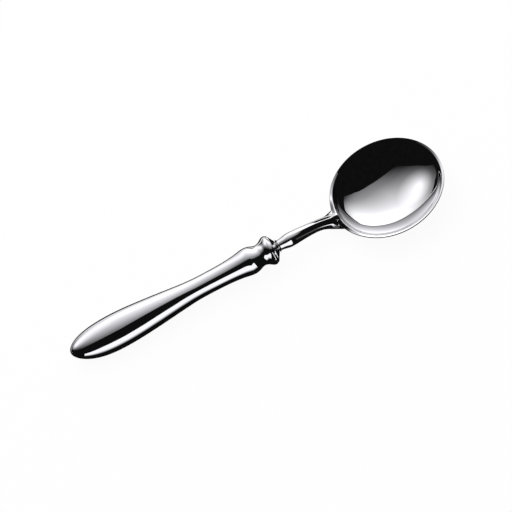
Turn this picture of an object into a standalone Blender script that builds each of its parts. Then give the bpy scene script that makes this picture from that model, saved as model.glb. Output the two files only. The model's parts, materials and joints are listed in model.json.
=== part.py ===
# A serving spoon with a hollow handle, in metres. X runs from the closed end of the handle to the
# tip of the bowl and Z is up. The spoon lies on the plane z = 0, on its bowl and on its handle.
import math

import bmesh
import bpy
import numpy as np
from mathutils import Matrix, Vector

# Handle: two stamped half shells, oval across, with a collar at the front.
HANDLE_LENGTH = 0.1216
HANDLE_WIDTH = 0.0207
HANDLE_OUTLINE = (  # share of the length, share of the width
    (0.0, 0.0),
    (0.065, 0.724),
    (0.213, 1.0),
    (0.364, 0.906),
    (0.52, 0.706),
    (0.6, 0.611),
    (0.69, 0.586),
    (0.79, 0.623),
    (0.85, 0.71),
    (0.885, 0.766),
    (0.91, 0.717),
    (0.936, 0.609),
    (0.962, 0.694),
    (0.99, 0.836),
    (1.0, 0.772),
)
GRIP_FLATNESS = 0.72  # half height over half width
LIP_FLATNESS = 0.85
ROUNDER_FROM = 0.2  # share where the section starts to turn rounder
COLLAR_SHARE = 0.86
TIP_LIFT = 0.0019  # the closed end turns up a little
TIP_LIFT_REACH = 0.024
SHELL_WALL = 0.0009
FIT_GAP = 0.0003  # between neighbouring pieces

# Cap over the mouth of the handle.
CAP_HEIGHT = 0.0029
CAP_WALL = 0.0011
CAP_SPIGOT = 0.0016

# Tang, the end of the head inside the handle.
TANG_LENGTH = 0.060
TANG_HALF_WIDTH = 0.0026
TANG_TAPER = 0.65
SHOULDER = 0.0002  # depth of the step from the tang to the neck

# Neck: share of its length, shares of its half width and half height, share of the drop.
NECK_LENGTH = 0.0344
NECK_DROP = 0.0036
NECK_HALF_WIDTH = 0.0041
NECK_HALF_HEIGHT = 0.0037
NECK_SECTIONS = (
    (0.0, 0.73, 0.74, 0.0),
    (0.07, 0.76, 0.78, 0.0),
    (0.14, 0.91, 0.93, 0.0),
    (0.21, 1.0, 1.0, 0.0),
    (0.33, 0.94, 0.94, -0.04),
    (0.5, 0.84, 0.84, -0.06),
    (0.67, 0.77, 0.79, 0.05),
    (0.8, 0.79, 0.75, 0.3),
    (0.92, 0.84, 0.72, 0.68),
)
RIDGE_FROM = 0.3  # share of the neck where a ridge starts along its back
RIDGE_FULL = 0.6
RIDGE_DIP = 0.17

# Bowl, oval in plan. The land of its rim slopes inwards.
BOWL_LENGTH = 0.065
BOWL_WIDTH = 0.0584
BOWL_DEPTH = 0.0115
BOWL_WALL = 0.0018
BOWL_FULLNESS = 0.12
HEEL_FULLNESS = 0.6  # added at the heel, where the bowl falls more steeply
BOWL_PITCH = math.radians(5.05)
BOWL_LIFT = 0.001  # middle of the rim above the axis of the handle
RIM_LAND = 0.0013
HEEL_LAND = 0.0022
RIM_EDGE = 0.0008
RIM_RISE = 0.0006
HEEL_CREST = (  # lift of the outer and the inner edge of the land, from the middle of the heel out
    (0.0018, 0.0020),
    (0.0006, 0.0016),
    (-0.0012, 0.0008),
    (-0.0012, 0.0006),
    (0.0, 0.0004),
    (0.0002, 0.0002),
)
REST_FLAT_DEPTH = 0.00025  # height ground off the underside, where the bowl rests

# Braze round the root of the neck.
BRAZE_SIZE = 0.0006

SHELL_SIDES = 14
RING_SIDES = 36
BOWL_SECTORS = 28
NECK_SPAN = math.radians(6.8)
HEEL_WEB = 3.9  # how much wider the neck runs into the bowl below than at the rim


def smooth_step(value):
    value = min(max(value, 0.0), 1.0)
    return value * value * (3.0 - 2.0 * value)


def natural_spline(points):
    # A cubic through the points, with value and slope for any place along it.
    xs = np.array([p[0] for p in points])
    ys = np.array([p[1] for p in points])
    step = np.diff(xs)
    size = len(xs)
    matrix = np.eye(size)
    right = np.zeros(size)
    for i in range(1, size - 1):
        matrix[i, i - 1] = step[i - 1]
        matrix[i, i] = 2.0 * (step[i - 1] + step[i])
        matrix[i, i + 1] = step[i]
        right[i] = 6.0 * ((ys[i + 1] - ys[i]) / step[i] - (ys[i] - ys[i - 1]) / step[i - 1])
    bend = np.linalg.solve(matrix, right)

    def at(x):
        i = int(min(max(np.searchsorted(xs, x) - 1, 0), size - 2))
        left, ahead, h = x - xs[i], xs[i + 1] - x, step[i]
        value = (bend[i] * ahead**3 + bend[i + 1] * left**3) / (6.0 * h)
        value += (ys[i] / h - bend[i] * h / 6.0) * ahead + (ys[i + 1] / h - bend[i + 1] * h / 6.0) * left
        slope = (bend[i + 1] * left**2 - bend[i] * ahead**2) / (2.0 * h)
        slope += (ys[i + 1] - ys[i]) / h - (bend[i + 1] - bend[i]) * h / 6.0
        return value, slope

    return at


# The spline holds the square of the half width, which keeps the closed end round.
WIDTH_SQUARED = natural_spline([(x, (wide * HANDLE_WIDTH / 2) ** 2) for x, wide in HANDLE_OUTLINE])


def half_width(share):
    return math.sqrt(max(WIDTH_SQUARED(share)[0], 0.0))


def flatness(share):
    turn = smooth_step((share - ROUNDER_FROM) / (1.0 - ROUNDER_FROM))
    return GRIP_FLATNESS + (LIP_FLATNESS - GRIP_FLATNESS) * turn


def tip_lift(x):
    return TIP_LIFT * max(1.0 - x / TIP_LIFT_REACH, 0.0) ** 2


def skin_point(share, angle, depth):
    # A point of the handle's outer skin, moved into the handle by depth along the skin's normal.
    along = share * HANDLE_LENGTH
    if share <= 0.0:
        return Vector((depth, 0.0, 0.0))
    wide = half_width(share)
    high = wide * flatness(share)
    small = 1e-4
    wide_slope = WIDTH_SQUARED(share)[1] / (2.0 * wide * HANDLE_LENGTH)
    ratio_slope = (flatness(share + small) - flatness(share - small)) / (2.0 * small * HANDLE_LENGTH)
    high_slope = wide_slope * flatness(share) + wide * ratio_slope
    c, s = math.cos(angle), math.sin(angle)
    normal = Vector((-(c * c * wide_slope / wide + s * s * high_slope / high), c / wide, s / high))
    return Vector((along, wide * c, high * s)) - depth * normal.normalized()


def handle_shares(last):
    # Stations close together at the round end and round the collar.
    swell = HANDLE_OUTLINE[2][0]
    shares = [swell * (1.0 - math.cos(math.pi / 2 * i / 9)) for i in range(9)]
    shares += list(np.linspace(swell, COLLAR_SHARE, 14, endpoint=False))
    shares += list(np.linspace(COLLAR_SHARE, last, 17))
    return shares


def add_material(name, colour, metal, rough):
    material = bpy.data.materials.new(name)
    material.use_nodes = True
    shader = material.node_tree.nodes["Principled BSDF"]
    shader.inputs["Base Color"].default_value = (*colour, 1.0)
    shader.inputs["Metallic"].default_value = metal
    shader.inputs["Roughness"].default_value = rough
    return material


def add_object(name, points, faces, material=None, smooth=True):
    mesh = bpy.data.meshes.new(name)
    mesh.from_pydata([tuple(p) for p in points], [], faces)
    work = bmesh.new()
    work.from_mesh(mesh)
    bmesh.ops.remove_doubles(work, verts=work.verts, dist=1e-6)
    bmesh.ops.delete(work, geom=[v for v in work.verts if not v.link_faces], context="VERTS")
    bmesh.ops.recalc_face_normals(work, faces=work.faces)
    work.to_mesh(mesh)
    work.free()
    for polygon in mesh.polygons:
        polygon.use_smooth = smooth
    body = bpy.data.objects.new(name, mesh)
    bpy.context.scene.collection.objects.link(body)
    if material:
        mesh.materials.append(material)
    return body


def half_shell(name, side, material):
    # Outer skin, inner skin and the edges between them, for one half of the handle.
    shares = handle_shares(1.0)
    points, faces = [], []
    for depth in (0.0, SHELL_WALL):
        for share in shares:
            for k in range(SHELL_SIDES + 1):
                point = skin_point(share, math.pi * k / SHELL_SIDES, depth)
                points.append((point.x, point.y, side * (point.z + FIT_GAP / 2) + tip_lift(point.x)))
    row = SHELL_SIDES + 1
    skin = len(shares) * row
    for i in range(len(shares) - 1):
        for k in range(SHELL_SIDES):
            a = i * row + k
            quad = (a, a + 1, a + row + 1, a + row)
            faces.append(quad if i else (a, a + row + 1, a + row))
            inner = tuple(skin + v for v in quad)
            faces.append(inner if i else (skin + a, skin + a + row, skin + a + row + 1))
        for k in (0, SHELL_SIDES):
            a = i * row + k
            faces.append((a, a + row, skin + a + row, skin + a))
    mouth = (len(shares) - 1) * row
    for k in range(SHELL_SIDES):
        faces.append((mouth + k, mouth + k + 1, skin + mouth + k + 1, skin + mouth + k))
    return add_object(name, points, faces, material)


def tube(name, loops, material=None):
    # Closed loops of equal length joined in turn, with a flat face at each end.
    count = len(loops[0])
    points = [p for loop in loops for p in loop]
    faces = []
    for i in range(len(loops) - 1):
        for k in range(count):
            a, b = i * count + k, i * count + (k + 1) % count
            faces.append((a, b, b + count, a + count))
    faces.append(tuple(range(count)))
    faces.append(tuple(len(points) - count + k for k in range(count)))
    return add_object(name, points, faces, material)


def oval_ring(name, outline, squash, material):
    # A closed outline of (radius, x) turned round the axis, flattened in Z.
    count = len(outline)
    points, faces = [], []
    for k in range(RING_SIDES):
        angle = 2.0 * math.pi * k / RING_SIDES
        for radius, x in outline:
            points.append((x, radius * math.cos(angle), radius * squash * math.sin(angle)))
    for k in range(RING_SIDES):
        after = (k + 1) % RING_SIDES
        for i in range(count):
            j = (i + 1) % count
            faces.append((k * count + i, k * count + j, after * count + j, after * count + i))
    return add_object(name, points, faces, material)


def bend_curve(start, control, end, steps):
    # A quadratic curve between two points.
    curve = []
    for i in range(steps + 1):
        t = i / steps
        curve.append(tuple(
            (1 - t) ** 2 * a + 2 * t * (1 - t) * b + t * t * c for a, b, c in zip(start, control, end)
        ))
    return curve


def oval_section(centre, pitch, wide, high, ridge=0.0):
    # Twelve points round an oval: five on top, one at each side, five below. A ridge lowers the
    # shoulders beside the middle of the top.
    order = (150, 120, 90, 60, 30, 0, -30, -60, -90, -120, -150, 180)
    loop = []
    for degrees in order:
        across = wide * math.cos(math.radians(degrees))
        up = high * math.sin(math.radians(degrees))
        if degrees in (60, 120):
            up *= 1.0 - RIDGE_DIP * ridge
        loop.append(Vector((centre[0] - up * math.sin(pitch), across, centre[1] + up * math.cos(pitch))))
    return loop


CAP_BACK = HANDLE_LENGTH + FIT_GAP
ROOT_X = CAP_BACK + CAP_HEIGHT + FIT_GAP
HEEL_X = ROOT_X + NECK_LENGTH
BOWL_X = HEEL_X + BOWL_LENGTH / 2 * math.cos(BOWL_PITCH)


def tang_sections(grow):
    # Loops from the tip of the tang to the shoulder of the neck, grown by a clearance.
    loops = []
    tip = ROOT_X - TANG_LENGTH
    for x, taper in ((tip - grow, TANG_TAPER), (tip + TANG_LENGTH * 0.04, TANG_TAPER + 0.1),
                     (tip + TANG_LENGTH * 0.5, 0.92), (tip + TANG_LENGTH * 0.9, 1.0),
                     (ROOT_X - SHOULDER * 5, 1.0), (ROOT_X - SHOULDER, 1.0)):
        wide = TANG_HALF_WIDTH * taper
        loops.append(oval_section((x, 0.0), 0.0, wide + grow, wide * LIP_FLATNESS + grow))
    return loops


def neck_sections():
    swell = 1.045  # the smoothing draws each loop in by this much
    places = []
    for share, wide, high, fall in NECK_SECTIONS:
        x, z = ROOT_X + share * NECK_LENGTH, -NECK_DROP * fall
        places.append((x, z, wide * NECK_HALF_WIDTH, high * NECK_HALF_HEIGHT))
    loops = []
    for i, (x, z, wide, high) in enumerate(places):
        before, after = places[max(i - 1, 0)], places[min(i + 1, len(places) - 1)]
        pitch = math.atan2(after[1] - before[1], after[0] - before[0])
        ridge = smooth_step(((x - ROOT_X) / NECK_LENGTH - RIDGE_FROM) / (RIDGE_FULL - RIDGE_FROM))
        loop = oval_section((x, z), pitch, wide * swell, high * swell, ridge)
        splay = (HEEL_WEB - 1.0) * smooth_step((x - ROOT_X) / NECK_LENGTH * 4.0 - 3.0) * 0.35
        for k in range(5, 12):
            loop[k].y *= 1.0 + splay * (0.3 if k in (5, 11) else 1.0)
        loops.append(loop)
    return loops


def bowl_point(share, turn, edge, z):
    # Places in the bowl's own plane, turned by its pitch. turn is 0 at the heel.
    x = -(BOWL_LENGTH / 2 - edge) * share * math.cos(turn)
    y = (BOWL_WIDTH / 2 - edge) * share * math.sin(turn)
    c, s = math.cos(BOWL_PITCH), math.sin(BOWL_PITCH)
    return Vector((BOWL_X + x * c - z * s, y, BOWL_LIFT + x * s + z * c))


def web_turn(turn, spread):
    # Spreads the places next to the heel and leaves the far side of the bowl where it is.
    side = turn if turn <= math.pi else turn - 2 * math.pi
    reach = math.radians(75)
    if abs(side) >= reach:
        return turn
    if abs(side) <= NECK_SPAN:
        return side * spread
    rest = (abs(side) - NECK_SPAN) / (reach - NECK_SPAN)
    return math.copysign(NECK_SPAN * spread + rest * (reach - NECK_SPAN * spread), side)


def bowl_fall(share, turn):
    fullness = BOWL_FULLNESS + HEEL_FULLNESS * abs(math.cos(turn / 2)) ** 9
    return (1.0 - share**2) * (1.0 + fullness * share**2)


def land_width(turn):
    return RIM_LAND + (HEEL_LAND - RIM_LAND) * abs(math.cos(turn / 2)) ** 40


def spoon_head(material):
    # The cage of the bowl, opened at the heel where the neck and tang run on from it.
    turns = [0.0, NECK_SPAN / 2]
    turns += [NECK_SPAN + (2 * math.pi - 2 * NECK_SPAN) * i / BOWL_SECTORS for i in range(BOWL_SECTORS + 1)]
    turns.append(2 * math.pi - NECK_SPAN / 2)
    count = len(turns)
    rings = []
    for share in (0.0, 0.22, 0.45, 0.68, 0.86, 0.955, 1.0):
        rings.append([
            bowl_point(share, turn, land_width(turn), -BOWL_DEPTH * bowl_fall(share, turn)) for turn in turns
        ])
    inner_edge, outer_edge = len(rings) - 1, len(rings)
    rings.append([bowl_point(1.0, turn, 0.0, RIM_RISE) for turn in turns])
    for k, (outer, inner) in enumerate(HEEL_CREST):
        for side in sorted({k, -k}):
            rings[outer_edge][side].z += outer
            rings[inner_edge][side].z += inner
    under = BOWL_DEPTH + BOWL_WALL - RIM_EDGE
    for share, web in ((1.0, 0.45), (0.85, 1.0), (0.68, 0.5), (0.48, 0.0), (0.25, 0.0), (0.0, 0.0)):
        spread = [web_turn(turn, 1.0 + (HEEL_WEB - 1.0) * web) for turn in turns]
        rings.append([
            bowl_point(share, turn, 0.0, -RIM_EDGE - under * bowl_fall(share, turn)) for turn in spread
        ])
    points = [p for ring in rings for p in ring]
    heel = {count - 2, count - 1, 0, 1}
    faces = []
    for i in range(len(rings) - 1):
        for k in range(count):
            if i in (outer_edge, outer_edge + 1) and k in heel:
                continue
            a, b = i * count + k, i * count + (k + 1) % count
            faces.append((a, b, b + count, a + count))

    def at(ring, k):
        return ring * count + k % count

    mouth = [at(outer_edge, k) for k in (-2, -1, 0, 1, 2)] + [at(outer_edge + 1, 2)]
    mouth += [at(outer_edge + 2, k) for k in (2, 1, 0, -1, -2)] + [at(outer_edge + 1, -2)]
    neck = neck_sections()
    for loop in reversed(tang_sections(0.0) + neck):
        start = len(points)
        points += loop
        here = list(range(start, start + len(loop)))
        for k in range(len(here)):
            after = (k + 1) % len(here)
            faces.append((mouth[k], mouth[after], here[after], here[k]))
        mouth = here
    faces.append(tuple(mouth))
    faces = [tuple(dict.fromkeys(face)) for face in faces]
    body = add_object("spoon_head", points, faces, material)

    edges = bmesh.new()
    edges.from_mesh(body.data)
    crease = edges.edges.layers.float.new("crease_edge")
    ridge = [loop[2] for loop in neck[4:]] + [rings[outer_edge][0], rings[inner_edge][0]]
    creases = (
        (rings[inner_edge], 0.5), (rings[outer_edge], 0.75), (rings[outer_edge + 1], 0.3), (ridge, 0.6)
    )
    for places, amount in creases:
        for edge in edges.edges:
            if all(min((v.co - p).length for p in places) < 1e-6 for v in edge.verts):
                edge[crease] = amount
    edges.to_mesh(body.data)
    edges.free()
    smooth = body.modifiers.new("smooth", "SUBSURF")
    smooth.levels = 1
    smooth.render_levels = smooth.levels
    return body


def cut_with(body, cutter):
    cutter.hide_render = True
    cutter.display_type = "WIRE"
    cut = body.modifiers.new("cut", "BOOLEAN")
    cut.operation = "DIFFERENCE"
    cut.solver = "EXACT"
    cut.object = cutter


def finished_points(body):
    shown = body.evaluated_get(bpy.context.evaluated_depsgraph_get())
    mesh = shown.to_mesh()
    points = np.array([tuple(v.co) for v in mesh.vertices])
    shown.to_mesh_clear()
    return points


def lie_down(pieces, head, handle):
    # Pitch the spoon until handle and bowl both reach the table, the bowl by its ground flat.
    bowl, grip = finished_points(head), finished_points(handle)
    pitch = 0.0
    for _ in range(30):
        lows = []
        for cloud in (bowl, grip):
            heights = cloud[:, 2] * math.cos(pitch) + cloud[:, 0] * math.sin(pitch)
            lowest = int(np.argmin(heights))
            lows.append((heights[lowest], cloud[lowest, 0]))
        apart = lows[1][0] - (lows[0][0] + REST_FLAT_DEPTH)
        pitch += apart / (lows[0][1] - lows[1][1])
    pose = bpy.data.objects.new("spoon_pose", None)
    bpy.context.scene.collection.objects.link(pose)
    pose.rotation_euler = (0.0, -pitch, 0.0)
    ends = [
        cloud[:, 0] * math.cos(pitch) - cloud[:, 2] * math.sin(pitch) for cloud in (bowl, grip)
    ]
    middle = (max(ends[0]) + min(ends[1])) / 2
    pose.location = (-middle, 0.0, -lows[1][0])
    for piece in pieces:
        piece.parent = pose
    return pitch, middle, -lows[1][0]


for leftover in list(bpy.data.objects):
    bpy.data.objects.remove(leftover, do_unlink=True)

head_steel = add_material("polished_head_steel", (0.80, 0.80, 0.81), 1.0, 0.06)
upper_steel = add_material("polished_upper_shell_steel", (0.79, 0.79, 0.80), 1.0, 0.06)
lower_steel = add_material("polished_lower_shell_steel", (0.79, 0.79, 0.80), 1.0, 0.06)
cap_steel = add_material("polished_cap_steel", (0.78, 0.78, 0.79), 1.0, 0.07)
resin = add_material("resin_cement", (0.42, 0.38, 0.32), 0.0, 0.85)
braze = add_material("silver_braze", (0.74, 0.72, 0.66), 1.0, 0.2)

head = spoon_head(head_steel)
upper = half_shell("handle_shell_upper", 1.0, upper_steel)
lower = half_shell("handle_shell_lower", -1.0, lower_steel)

mouth_half_width = half_width(1.0)
hole = TANG_HALF_WIDTH + FIT_GAP
spigot = mouth_half_width - SHELL_WALL - 2.5 * FIT_GAP
dome = bend_curve(
    (mouth_half_width - FIT_GAP, CAP_BACK),
    (mouth_half_width * 0.78, CAP_BACK + CAP_HEIGHT * 0.35),
    (hole, CAP_BACK + CAP_HEIGHT),
    7,
)
cap_outline = dome + [
    (hole, CAP_BACK + CAP_HEIGHT - CAP_WALL),
    (spigot - CAP_WALL, CAP_BACK),
    (spigot - CAP_WALL, CAP_BACK - CAP_SPIGOT),
    (spigot, CAP_BACK - CAP_SPIGOT),
    (spigot, CAP_BACK),
]
cap = oval_ring("collar_cap", cap_outline, LIP_FLATNESS, cap_steel)

core_depth = SHELL_WALL + FIT_GAP
core_end = 1.0 - (CAP_SPIGOT + 3 * FIT_GAP) / HANDLE_LENGTH
core_loops = []
for share in handle_shares(core_end)[2:]:
    loop = [skin_point(share, 2 * math.pi * k / 28, core_depth) for k in range(28)]
    core_loops.append([Vector((p.x, p.y, p.z + tip_lift(p.x))) for p in loop])
core = tube("cement_core", core_loops, resin)
pocket = tube("tang_pocket", tang_sections(FIT_GAP))
cut_with(core, pocket)

braze_inner = NECK_SECTIONS[0][1] * NECK_HALF_WIDTH + FIT_GAP
braze_x = ROOT_X + FIT_GAP
braze_outline = bend_curve(
    (braze_inner + BRAZE_SIZE, braze_x),
    (braze_inner + BRAZE_SIZE * 0.25, braze_x + BRAZE_SIZE * 0.25),
    (braze_inner, braze_x + BRAZE_SIZE),
    4,
) + [(braze_inner, braze_x)]
ring = oval_ring("neck_braze_ring", braze_outline, 0.92, braze)

pieces = [head, upper, lower, cap, core, pocket, ring]
rest_pitch, rest_shift, rest_lift = lie_down(pieces, head, lower)

# The table plane, which grinds the small flat under the bowl.
block = 0.05
corners = [(x, y, z) for x in (0.0, 0.12) for y in (-block, block) for z in (-block, 0.0)]
sides = [(0, 1, 3, 2), (4, 6, 7, 5), (0, 4, 5, 1), (2, 3, 7, 6), (0, 2, 6, 4), (1, 5, 7, 3)]
table = add_object("table_cut", corners, sides, smooth=False)
cut_with(head, table)
print("pitch", round(math.degrees(rest_pitch), 4), "shift", rest_shift, "lift", rest_lift)
print("pose of the handle axis", tuple(Matrix.Rotation(-rest_pitch, 3, "Y") @ Vector((1, 0, 0))))
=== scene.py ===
# Serving spoon with a hollow handle: fine meshes, polished steel and a small studio round them.
import json
import math

import bmesh
import bpy
import numpy as np
from mathutils import Matrix, Vector


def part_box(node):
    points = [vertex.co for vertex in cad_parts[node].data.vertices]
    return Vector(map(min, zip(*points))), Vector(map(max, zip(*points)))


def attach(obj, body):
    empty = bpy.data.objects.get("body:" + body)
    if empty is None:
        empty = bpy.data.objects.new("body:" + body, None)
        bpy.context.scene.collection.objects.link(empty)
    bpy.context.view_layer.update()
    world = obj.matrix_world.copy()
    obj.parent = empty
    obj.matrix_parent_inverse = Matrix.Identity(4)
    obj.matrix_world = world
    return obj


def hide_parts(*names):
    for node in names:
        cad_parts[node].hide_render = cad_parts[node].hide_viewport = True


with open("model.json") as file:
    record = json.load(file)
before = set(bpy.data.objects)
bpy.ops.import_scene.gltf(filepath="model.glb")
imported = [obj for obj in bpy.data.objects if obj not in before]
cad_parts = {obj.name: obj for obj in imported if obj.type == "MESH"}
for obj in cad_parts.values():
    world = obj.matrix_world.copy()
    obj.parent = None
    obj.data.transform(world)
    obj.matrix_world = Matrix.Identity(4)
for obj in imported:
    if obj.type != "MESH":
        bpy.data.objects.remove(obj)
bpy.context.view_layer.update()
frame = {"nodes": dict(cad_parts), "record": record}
print("frame loaded:", len(frame["nodes"]), "nodes")

# The spoon lies tilted on its bowl and grip. Everything below is drawn along the handle's own
# axis, from its closed end, and this matrix lays it down.
gripMount = next(m for m in frame["record"]["mounts"] if m["name"] == "handle_grip")
gripAxis = Vector(gripMount["axis"])
gripPlace = Vector(gripMount["pos_m"])
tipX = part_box("handle_shell_upper")[0].x
tipPlace = gripPlace + gripAxis * ((tipX - gripPlace.x) / gripAxis.x)
layDown = Matrix.Translation(tipPlace) @ Matrix.Rotation(-math.atan2(gripAxis.z, gripAxis.x), 4, "Y")

fitGap = 0.0003  # left between neighbouring solids, closed here where the real joint is closed
samePlace = 1e-6  # points closer than this are one point


def toLinear(hexColour):
    values = [int(hexColour[i:i + 2], 16) / 255 for i in (1, 3, 5)]
    return tuple(v / 12.92 if v <= 0.04045 else ((v + 0.055) / 1.055) ** 2.4 for v in values) + (1.0,)


def addNode(tree, kind, settings=None, inputs=None):
    node = tree.nodes.new(kind)
    for name, value in (settings or {}).items():
        setattr(node, name, value)
    for name, value in (inputs or {}).items():
        if isinstance(value, bpy.types.NodeSocket):
            tree.links.new(value, node.inputs[name])
        else:
            node.inputs[name].default_value = value
    return node


def easeBetween(value, start, end):
    # 0 before start, 1 after end and a smooth rise between them
    share = np.clip((value - start) / (end - start), 0.0, 1.0)
    return share * share * (3.0 - 2.0 * share)


def emptyMaterial(name):
    material = bpy.data.materials.new(name)
    material.use_nodes = True
    material.node_tree.nodes.clear()
    return material, material.node_tree


steelPolish = {
    "lineWeight": 0.5,  # how much the buffing lines count beside the haze
    "usualSum": (0.5, 1.0),  # where haze and lines together mostly lie
    "lineDepthMm": 0.01,
}


def polishedSteel(name, look):
    # Stainless steel, buffed to a mirror: neutral grey, sharp reflections, with the faint
    # lines of the buffing wheel and a little haze that only show where a light edge runs.
    material, tree = emptyMaterial(name)
    place = addNode(tree, "ShaderNodeTexCoord")
    haze = addNode(tree, "ShaderNodeTexNoise", None, {
        "Vector": place.outputs["Object"], "Scale": 1000.0 / look["hazeMm"], "Detail": 3.0})
    tone = addNode(tree, "ShaderNodeMix", {"data_type": "RGBA"}, {
        "Factor": haze.outputs["Fac"], 6: toLinear(look["dark"]), 7: toLinear(look["light"])})
    stretch = addNode(tree, "ShaderNodeMapping", None, {
        "Vector": place.outputs["Object"], "Scale": look["lineStretch"]})
    lines = addNode(tree, "ShaderNodeTexNoise", None, {
        "Vector": stretch.outputs["Vector"], "Scale": 1000.0 / look["lineMm"], "Detail": 2.0})
    both = addNode(tree, "ShaderNodeMath", {"operation": "MULTIPLY_ADD"}, {
        0: lines.outputs["Fac"], 1: steelPolish["lineWeight"], 2: haze.outputs["Fac"]})
    rough = addNode(tree, "ShaderNodeMapRange", None, {
        "Value": both.outputs["Value"],
        "From Min": steelPolish["usualSum"][0], "From Max": steelPolish["usualSum"][1],
        "To Min": look["rough"][0], "To Max": look["rough"][1]})
    bump = addNode(tree, "ShaderNodeBump", None, {
        "Height": lines.outputs["Fac"], "Strength": look["bump"],
        "Distance": steelPolish["lineDepthMm"] / 1000.0})
    shader = addNode(tree, "ShaderNodeBsdfPrincipled", None, {
        "Base Color": tone.outputs[2], "Roughness": rough.outputs["Result"],
        "Normal": bump.outputs["Normal"], "Metallic": 1.0})
    addNode(tree, "ShaderNodeOutputMaterial", None, {"Surface": shader.outputs["BSDF"]})
    return material


def silverBraze(name, look):
    # Silver braze, flowed and buffed over: a touch warmer and softer than the steel beside it.
    material, tree = emptyMaterial(name)
    place = addNode(tree, "ShaderNodeTexCoord")
    flow = addNode(tree, "ShaderNodeTexNoise", None, {
        "Vector": place.outputs["Object"], "Scale": 1000.0 / look["rippleMm"], "Detail": 4.0})
    tone = addNode(tree, "ShaderNodeMix", {"data_type": "RGBA"}, {
        "Factor": flow.outputs["Fac"], 6: toLinear(look["dark"]), 7: toLinear(look["light"])})
    rough = addNode(tree, "ShaderNodeMapRange", None, {
        "Value": flow.outputs["Fac"], "To Min": look["rough"][0], "To Max": look["rough"][1]})
    bump = addNode(tree, "ShaderNodeBump", None, {
        "Height": flow.outputs["Fac"], "Strength": look["bump"], "Distance": look["rippleDepthMm"] / 1000.0})
    shader = addNode(tree, "ShaderNodeBsdfPrincipled", None, {
        "Base Color": tone.outputs[2], "Roughness": rough.outputs["Result"],
        "Normal": bump.outputs["Normal"], "Metallic": 1.0})
    addNode(tree, "ShaderNodeOutputMaterial", None, {"Surface": shader.outputs["BSDF"]})
    return material


def sandedResin(name, look):
    # Cast resin cement with a sand filler: matt, brownish grey, speckled by the grains.
    material, tree = emptyMaterial(name)
    place = addNode(tree, "ShaderNodeTexCoord")
    grain = addNode(tree, "ShaderNodeTexVoronoi", None, {
        "Vector": place.outputs["Object"], "Scale": 1000.0 / look["grainMm"]})
    cloud = addNode(tree, "ShaderNodeTexNoise", None, {
        "Vector": place.outputs["Object"], "Scale": 1000.0 / look["cloudMm"], "Detail": 5.0})
    binder = addNode(tree, "ShaderNodeMix", {"data_type": "RGBA"}, {
        "Factor": cloud.outputs["Fac"], 6: toLinear(look["dark"]), 7: toLinear(look["light"])})
    speck = addNode(tree, "ShaderNodeMix", {"data_type": "RGBA", "blend_type": "MULTIPLY"}, {
        "Factor": look["grainTint"], 6: binder.outputs[2], 7: grain.outputs["Color"]})
    bump = addNode(tree, "ShaderNodeBump", None, {
        "Height": grain.outputs["Distance"], "Strength": look["bump"],
        "Distance": look["grainDepthMm"] / 1000.0})
    shader = addNode(tree, "ShaderNodeBsdfPrincipled", None, {
        "Base Color": speck.outputs[2], "Normal": bump.outputs["Normal"], "Roughness": look["rough"]})
    addNode(tree, "ShaderNodeOutputMaterial", None, {"Surface": shader.outputs["BSDF"]})
    return material


# Buffing lines are really about 0.05 mm apart. They are drawn at 0.3 to 0.5 mm so that they show at all.
headSteel = polishedSteel("polishedHeadSteel", {
    "dark": "#d9d9da", "light": "#e2e2e3", "hazeMm": 14.0, "lineMm": 0.5,
    "lineStretch": (0.06, 1.0, 1.0), "rough": (0.012, 0.03), "bump": 0.02})
handleSteel = polishedSteel("polishedHandleSteel", {
    "dark": "#d8d8da", "light": "#e1e1e3", "hazeMm": 10.0, "lineMm": 0.5,
    "lineStretch": (0.05, 1.0, 1.0), "rough": (0.012, 0.03), "bump": 0.02})
capSteel = polishedSteel("polishedCapSteel", {
    "dark": "#d6d6d8", "light": "#dfdfe1", "hazeMm": 4.0, "lineMm": 0.3,
    "lineStretch": (1.0, 0.2, 0.2), "rough": (0.02, 0.045), "bump": 0.03})
brazeSilver = silverBraze("silverBraze", {
    "dark": "#c9c8c3", "light": "#dad9d5", "rippleMm": 0.8, "rippleDepthMm": 0.06,
    "rough": (0.05, 0.14), "bump": 0.3})
coreResin = sandedResin("sandedResinCement", {
    "dark": "#8f8578", "light": "#b8ad9c", "cloudMm": 6.0, "grainMm": 0.5, "grainDepthMm": 0.1,
    "grainTint": 0.25, "rough": 0.85, "bump": 0.5})
print("materials made")


def plainMesh(points, faces, name):
    mesh = bpy.data.meshes.new(name)
    mesh.from_pydata([tuple(p) for p in points], [], faces)
    work = bmesh.new()
    work.from_mesh(mesh)
    bmesh.ops.remove_doubles(work, verts=work.verts, dist=samePlace)
    bmesh.ops.delete(work, geom=[v for v in work.verts if not v.link_faces], context="VERTS")
    bmesh.ops.recalc_face_normals(work, faces=work.faces)
    work.to_mesh(mesh)
    work.free()
    return mesh


def bakeModifiers(body):
    # The evaluated shape as a plain mesh, with the modifiers gone.
    shown = body.evaluated_get(bpy.context.evaluated_depsgraph_get())
    mesh = bpy.data.meshes.new_from_object(shown)
    body.modifiers.clear()
    body.data = mesh
    return mesh


def vertexPlaces(mesh):
    places = np.zeros(len(mesh.vertices) * 3)
    mesh.vertices.foreach_get("co", places)
    return places.reshape(-1, 3)


def movePlaces(mesh, places):
    mesh.vertices.foreach_set("co", places.ravel())
    mesh.update()


def addPiece(name, mesh, node, material):
    body = bpy.data.objects.new(name, mesh)
    bpy.context.scene.collection.objects.link(body)
    mesh.materials.clear()
    mesh.materials.append(material)
    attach(body, "root")
    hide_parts(node)


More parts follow.
